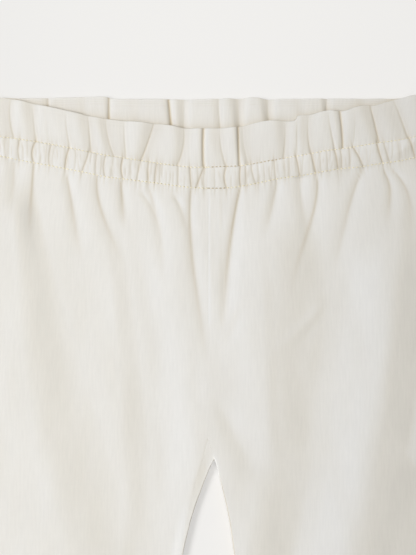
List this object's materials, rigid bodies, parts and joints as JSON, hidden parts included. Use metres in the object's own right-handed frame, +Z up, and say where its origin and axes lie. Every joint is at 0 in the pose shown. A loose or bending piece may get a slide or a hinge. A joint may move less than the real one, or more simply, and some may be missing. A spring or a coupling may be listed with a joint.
{
  "type": "child's pull-on denim trousers with a frilled elastic waist, laid flat",
  "caption": "Child's cream stretch-denim trousers laid flat, with a gathered elastic casing, a frill above it and straight legs.",
  "frame": {"origin": "on the floor, in the middle of the laid garment's footprint", "axes": "+Y from the hems towards the waist, +Z up out of the front, +X towards the wearer's left leg"},
  "size_m": [0.3182, 0.585, 0.0067],
  "materials": {
    "front_left_denim": "matt cream twill denim with a slubby warp",
    "front_right_denim": "matt cream twill denim with a slubby warp",
    "back_left_denim": "matt cream twill denim, its inner face showing above the front",
    "back_right_denim": "matt cream twill denim, its inner face showing above the front",
    "thread": "ochre sewing thread of the two stitched rows of the casing, with a soft sheen"
  },
  "bodies": {
    "root": {"front_left": "front_left_denim", "front_right": "front_right_denim", "back_left": "back_left_denim", "back_right": "back_right_denim"}
  },
  "joints": []
}
